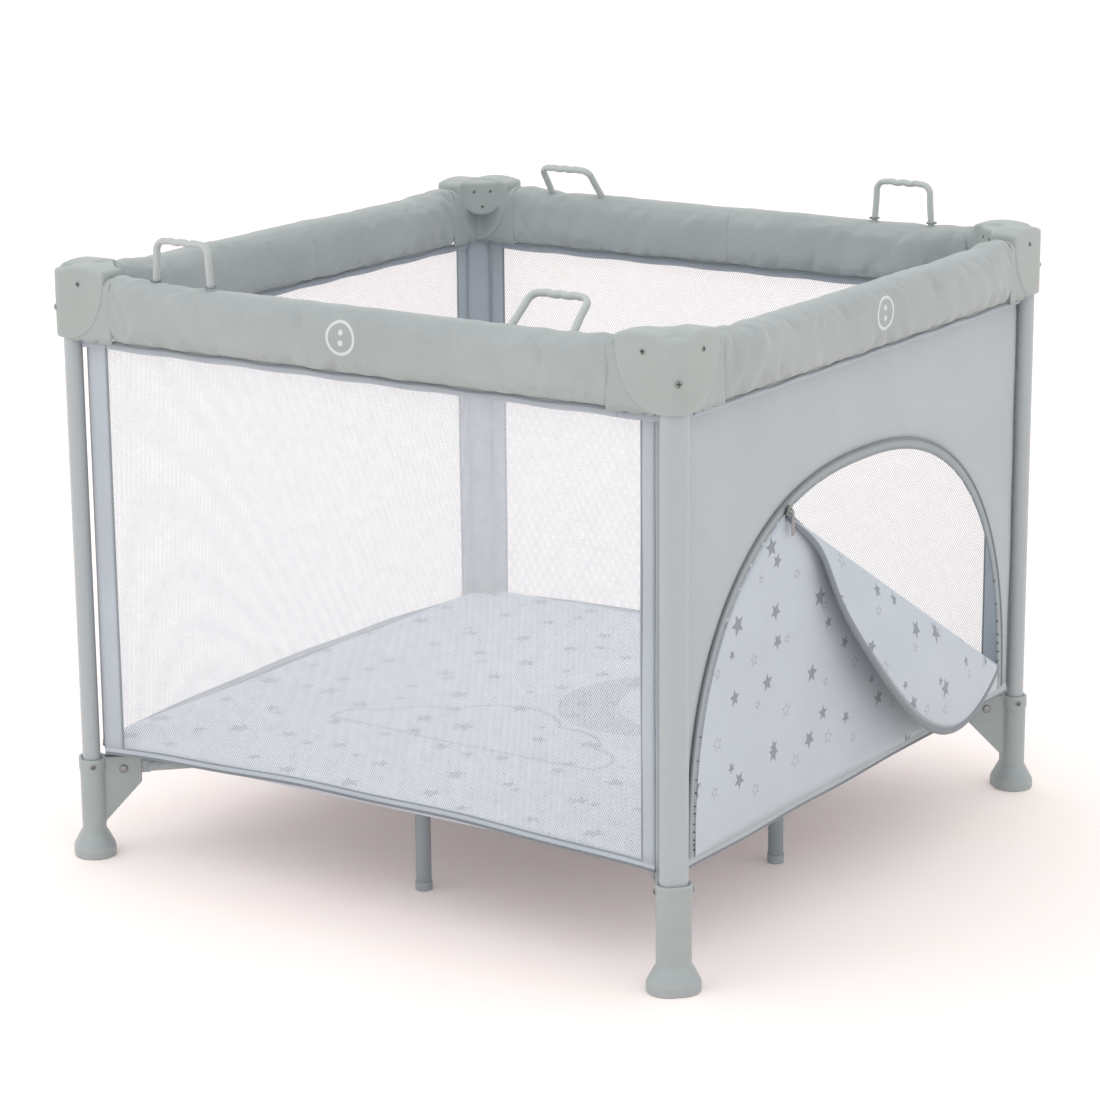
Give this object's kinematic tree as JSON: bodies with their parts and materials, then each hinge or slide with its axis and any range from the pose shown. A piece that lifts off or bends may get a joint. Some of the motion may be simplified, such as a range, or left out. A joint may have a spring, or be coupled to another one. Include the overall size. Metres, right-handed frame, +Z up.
{
  "type": "playpen",
  "caption": "Square folding baby playpen with corner posts, padded top rails, mesh sides, an arched zip door and a padded mat.",
  "frame": {"origin": "on the floor, under the centre of the playpen", "axes": "+Z up; +X towards the side with the zip door; -Y is the front mesh side"},
  "size_m": [0.9634, 0.9634, 0.837],
  "materials": {
    "post_tube": "satin",
    "corner_plastic": "satin",
    "lock_plastic": "matte",
    "rail_tube": "satin",
    "hinge_plastic": "matte",
    "leg_plastic": "matte",
    "base_tube": "satin",
    "handle_plastic": "satin",
    "cover_fabric": "woven",
    "panel_fabric": "woven",
    "mesh_fabric": "open mesh",
    "mat_fabric": "printed woven",
    "flap_fabric": "printed woven",
    "zip_metal": "satin"
  },
  "bodies": {
    "front_left_corner": {"front_left_post": "post_tube", "front_left_foot": "corner_plastic", "front_left_cap": "corner_plastic", "front_wall": "mesh_fabric", "mat": "mat_fabric"},
    "front_right_corner": {"front_right_post": "post_tube", "front_right_foot": "corner_plastic", "front_right_cap": "corner_plastic", "right_wall": "panel_fabric", "door_flap": "flap_fabric"},
    "back_right_corner": {"back_right_post": "post_tube", "back_right_foot": "corner_plastic", "back_right_cap": "corner_plastic", "back_wall": "mesh_fabric"},
    "back_left_corner": {"back_left_post": "post_tube", "back_left_foot": "corner_plastic", "back_left_cap": "corner_plastic", "left_wall": "mesh_fabric"},
    "front_rail_a": {"front_rail_a": "rail_tube", "front_rail_lock": "lock_plastic", "front_cover": "cover_fabric"},
    "front_rail_b": {"front_rail_b": "rail_tube"},
    "front_base_tube_a": {"front_base_tube_a": "base_tube"},
    "front_base_tube_b": {"front_base_tube_b": "base_tube"},
    "front_leg": {"front_leg": "leg_plastic"},
    "right_rail_a": {"right_rail_a": "rail_tube", "right_rail_lock": "lock_plastic", "right_cover": "cover_fabric"},
    "right_rail_b": {"right_rail_b": "rail_tube"},
    "right_base_tube_a": {"right_base_tube_a": "base_tube"},
    "right_base_tube_b": {"right_base_tube_b": "base_tube"},
    "right_leg": {"right_leg": "leg_plastic"},
    "back_rail_a": {"back_rail_a": "rail_tube", "back_rail_lock": "lock_plastic", "back_cover": "cover_fabric"},
    "back_rail_b": {"back_rail_b": "rail_tube"},
    "back_base_tube_a": {"back_base_tube_a": "base_tube"},
    "back_base_tube_b": {"back_base_tube_b": "base_tube"},
    "back_leg": {"back_leg": "leg_plastic"},
    "left_rail_a": {"left_rail_a": "rail_tube", "left_rail_lock": "lock_plastic", "left_cover": "cover_fabric"},
    "left_rail_b": {"left_rail_b": "rail_tube"},
    "left_base_tube_a": {"left_base_tube_a": "base_tube"},
    "left_base_tube_b": {"left_base_tube_b": "base_tube"},
    "left_leg": {"left_leg": "leg_plastic"},
    "front_left_arm": {"front_left_arm": "base_tube"},
    "front_left_knuckle": {"front_left_knuckle": "hinge_plastic"},
    "front_right_arm": {"front_right_arm": "base_tube"},
    "front_right_knuckle": {"front_right_knuckle": "hinge_plastic"},
    "back_right_arm": {"back_right_arm": "base_tube"},
    "back_right_knuckle": {"back_right_knuckle": "hinge_plastic"},
    "back_left_arm": {"back_left_arm": "base_tube"},
    "back_left_knuckle": {"back_left_knuckle": "hinge_plastic"},
    "front_handle_a": {"front_handle_a": "handle_plastic"},
    "front_handle_b": {"front_handle_b": "handle_plastic"},
    "back_handle_a": {"back_handle_a": "handle_plastic"},
    "back_handle_b": {"back_handle_b": "handle_plastic"},
    "zip_pull": {"zip_pull": "zip_metal"}
  },
  "joints": [
    {"name": "fold", "type": "hinge", "parent": "front_left_corner", "child": "front_rail_a", "pos_m": [-0.38101, -0.45, 0.746], "axis": [0, 1, 0], "range_deg": [0, 75], "deforming": ["front_cover", "right_cover", "back_cover", "left_cover", "front_wall", "right_wall", "back_wall", "left_wall", "mat", "door_flap"]},
    {"name": "front_rail_middle", "type": "hinge", "parent": "front_rail_a", "child": "front_rail_b", "pos_m": [0, -0.45, 0.746], "axis": [0, -1, 0], "range_deg": [0, 150]},
    {"name": "front_right_post_level", "type": "hinge", "parent": "front_rail_b", "child": "front_right_corner", "pos_m": [0.38101, -0.45, 0.746], "axis": [0, 1, 0], "range_deg": [0, 75]},
    {"name": "right_rail_a_fold", "type": "hinge", "parent": "front_right_corner", "child": "right_rail_a", "pos_m": [0.45, -0.38101, 0.746], "axis": [-1, 0, 0], "range_deg": [0, 75]},
    {"name": "right_rail_middle", "type": "hinge", "parent": "right_rail_a", "child": "right_rail_b", "pos_m": [0.45, 0, 0.746], "axis": [1, 0, 0], "range_deg": [0, 150]},
    {"name": "back_right_post_level", "type": "hinge", "parent": "right_rail_b", "child": "back_right_corner", "pos_m": [0.45, 0.38101, 0.746], "axis": [-1, 0, 0], "range_deg": [0, 75]},
    {"name": "left_rail_b_fold", "type": "hinge", "parent": "front_left_corner", "child": "left_rail_b", "pos_m": [-0.45, -0.38101, 0.746], "axis": [-1, 0, 0], "range_deg": [0, 75]},
    {"name": "left_rail_middle", "type": "hinge", "parent": "left_rail_b", "child": "left_rail_a", "pos_m": [-0.45, 0, 0.746], "axis": [1, 0, 0], "range_deg": [0, 150]},
    {"name": "back_left_post_level", "type": "hinge", "parent": "left_rail_a", "child": "back_left_corner", "pos_m": [-0.45, 0.38101, 0.746], "axis": [-1, 0, 0], "range_deg": [0, 75]},
    {"name": "back_rail_a_fold", "type": "hinge", "parent": "back_right_corner", "child": "back_rail_a", "pos_m": [0.38101, 0.45, 0.746], "axis": [0, -1, 0], "range_deg": [0, 75]},
    {"name": "back_rail_b_fold", "type": "hinge", "parent": "back_left_corner", "child": "back_rail_b", "pos_m": [-0.38101, 0.45, 0.746], "axis": [0, 1, 0], "range_deg": [0, 75]},
    {"name": "front_left_arm_fold", "type": "hinge", "parent": "front_left_corner", "child": "front_left_arm", "pos_m": [-0.42101, -0.42101, 0.116], "axis": [0.7071, -0.7071, 0], "range_deg": [0, 75]},
    {"name": "front_left_knuckle_level", "type": "hinge", "parent": "front_left_arm", "child": "front_left_knuckle", "pos_m": [-0.32979, -0.32979, 0.116], "axis": [-0.7071, 0.7071, 0], "range_deg": [0, 75]},
    {"name": "front_right_arm_fold", "type": "hinge", "parent": "front_right_corner", "child": "front_right_arm", "pos_m": [0.42101, -0.42101, 0.116], "axis": [0.7071, 0.7071, 0], "range_deg": [0, 75]},
    {"name": "front_right_knuckle_level", "type": "hinge", "parent": "front_right_arm", "child": "front_right_knuckle", "pos_m": [0.32979, -0.32979, 0.116], "axis": [-0.7071, -0.7071, 0], "range_deg": [0, 75]},
    {"name": "back_right_arm_fold", "type": "hinge", "parent": "back_right_corner", "child": "back_right_arm", "pos_m": [0.42101, 0.42101, 0.116], "axis": [-0.7071, 0.7071, 0], "range_deg": [0, 75]},
    {"name": "back_right_knuckle_level", "type": "hinge", "parent": "back_right_arm", "child": "back_right_knuckle", "pos_m": [0.32979, 0.32979, 0.116], "axis": [0.7071, -0.7071, 0], "range_deg": [0, 75]},
    {"name": "back_left_arm_fold", "type": "hinge", "parent": "back_left_corner", "child": "back_left_arm", "pos_m": [-0.42101, 0.42101, 0.116], "axis": [-0.7071, -0.7071, 0], "range_deg": [0, 75]},
    {"name": "back_left_knuckle_level", "type": "hinge", "parent": "back_left_arm", "child": "back_left_knuckle", "pos_m": [-0.32979, 0.32979, 0.116], "axis": [0.7071, 0.7071, 0], "range_deg": [0, 75]},
    {"name": "front_base_tube_a_fold", "type": "hinge", "parent": "front_left_knuckle", "child": "front_base_tube_a", "pos_m": [-0.30979, -0.32979, 0.134], "axis": [0, -1, 0], "range_deg": [0, 75]},
    {"name": "front_base_tube_b_fold", "type": "hinge", "parent": "front_right_knuckle", "child": "front_base_tube_b", "pos_m": [0.30979, -0.32979, 0.134], "axis": [0, 1, 0], "range_deg": [0, 75]},
    {"name": "front_leg_level", "type": "hinge", "parent": "front_base_tube_a", "child": "front_leg", "pos_m": [-0.02, -0.32979, 0.134], "axis": [0, 1, 0], "range_deg": [0, 75]},
    {"name": "right_base_tube_a_fold", "type": "hinge", "parent": "front_right_knuckle", "child": "right_base_tube_a", "pos_m": [0.32979, -0.30979, 0.134], "axis": [1, 0, 0], "range_deg": [0, 75]},
    {"name": "right_base_tube_b_fold", "type": "hinge", "parent": "back_right_knuckle", "child": "right_base_tube_b", "pos_m": [0.32979, 0.30979, 0.134], "axis": [-1, 0, 0], "range_deg": [0, 75]},
    {"name": "right_leg_level", "type": "hinge", "parent": "right_base_tube_a", "child": "right_leg", "pos_m": [0.32979, -0.02, 0.134], "axis": [-1, 0, 0], "range_deg": [0, 75]},
    {"name": "back_base_tube_a_fold", "type": "hinge", "parent": "back_right_knuckle", "child": "back_base_tube_a", "pos_m": [0.30979, 0.32979, 0.134], "axis": [0, 1, 0], "range_deg": [0, 75]},
    {"name": "back_base_tube_b_fold", "type": "hinge", "parent": "back_left_knuckle", "child": "back_base_tube_b", "pos_m": [-0.30979, 0.32979, 0.134], "axis": [0, -1, 0], "range_deg": [0, 75]},
    {"name": "back_leg_level", "type": "hinge", "parent": "back_base_tube_a", "child": "back_leg", "pos_m": [0.02, 0.32979, 0.134], "axis": [0, -1, 0], "range_deg": [0, 75]},
    {"name": "left_base_tube_a_fold", "type": "hinge", "parent": "back_left_knuckle", "child": "left_base_tube_a", "pos_m": [-0.32979, 0.30979, 0.134], "axis": [-1, 0, 0], "range_deg": [0, 75]},
    {"name": "left_base_tube_b_fold", "type": "hinge", "parent": "front_left_knuckle", "child": "left_base_tube_b", "pos_m": [-0.32979, -0.30979, 0.134], "axis": [1, 0, 0], "range_deg": [0, 75]},
    {"name": "left_leg_level", "type": "hinge", "parent": "left_base_tube_a", "child": "left_leg", "pos_m": [-0.32979, 0.02, 0.134], "axis": [1, 0, 0], "range_deg": [0, 75]},
    {"name": "front_handle_a_swing", "type": "hinge", "parent": "front_rail_a", "child": "front_handle_a", "pos_m": [-0.264, -0.45, 0.766], "axis": [1, 0, 0], "range_deg": [-60, 60]},
    {"name": "front_handle_b_swing", "type": "hinge", "parent": "front_rail_b", "child": "front_handle_b", "pos_m": [0.264, -0.45, 0.766], "axis": [1, 0, 0], "range_deg": [-10, 110]},
    {"name": "back_handle_a_swing", "type": "hinge", "parent": "back_rail_a", "child": "back_handle_a", "pos_m": [0.264, 0.45, 0.766], "axis": [-1, 0, 0], "range_deg": [-60, 60]},
    {"name": "back_handle_b_swing", "type": "hinge", "parent": "back_rail_b", "child": "back_handle_b", "pos_m": [-0.264, 0.45, 0.766], "axis": [-1, 0, 0], "range_deg": [-22, 98]},
    {"name": "zip_pull_swing", "type": "hinge", "parent": "front_right_corner", "child": "zip_pull", "pos_m": [0.464, -0.19988, 0.53207], "axis": [0, 1, 0], "range_deg": [-100, 0]}
  ],
  "couplings": [
    {"joint": "front_rail_middle", "follows": "fold", "ratio": 2},
    {"joint": "front_right_post_level", "follows": "fold", "ratio": 1},
    {"joint": "right_rail_a_fold", "follows": "fold", "ratio": 1},
    {"joint": "right_rail_middle", "follows": "fold", "ratio": 2},
    {"joint": "back_right_post_level", "follows": "fold", "ratio": 1},
    {"joint": "left_rail_b_fold", "follows": "fold", "ratio": 1},
    {"joint": "left_rail_middle", "follows": "fold", "ratio": 2},
    {"joint": "back_left_post_level", "follows": "fold", "ratio": 1},
    {"joint": "back_rail_a_fold", "follows": "fold", "ratio": 1},
    {"joint": "back_rail_b_fold", "follows": "fold", "ratio": 1},
    {"joint": "front_left_arm_fold", "follows": "fold", "ratio": 1},
    {"joint": "front_left_knuckle_level", "follows": "fold", "ratio": 1},
    {"joint": "front_right_arm_fold", "follows": "fold", "ratio": 1},
    {"joint": "front_right_knuckle_level", "follows": "fold", "ratio": 1},
    {"joint": "back_right_arm_fold", "follows": "fold", "ratio": 1},
    {"joint": "back_right_knuckle_level", "follows": "fold", "ratio": 1},
    {"joint": "back_left_arm_fold", "follows": "fold", "ratio": 1},
    {"joint": "back_left_knuckle_level", "follows": "fold", "ratio": 1},
    {"joint": "front_base_tube_a_fold", "follows": "fold", "ratio": 1},
    {"joint": "front_base_tube_b_fold", "follows": "fold", "ratio": 1},
    {"joint": "front_leg_level", "follows": "fold", "ratio": 1},
    {"joint": "right_base_tube_a_fold", "follows": "fold", "ratio": 1},
    {"joint": "right_base_tube_b_fold", "follows": "fold", "ratio": 1},
    {"joint": "right_leg_level", "follows": "fold", "ratio": 1},
    {"joint": "back_base_tube_a_fold", "follows": "fold", "ratio": 1},
    {"joint": "back_base_tube_b_fold", "follows": "fold", "ratio": 1},
    {"joint": "back_leg_level", "follows": "fold", "ratio": 1},
    {"joint": "left_base_tube_a_fold", "follows": "fold", "ratio": 1},
    {"joint": "left_base_tube_b_fold", "follows": "fold", "ratio": 1},
    {"joint": "left_leg_level", "follows": "fold", "ratio": 1}
  ]
}
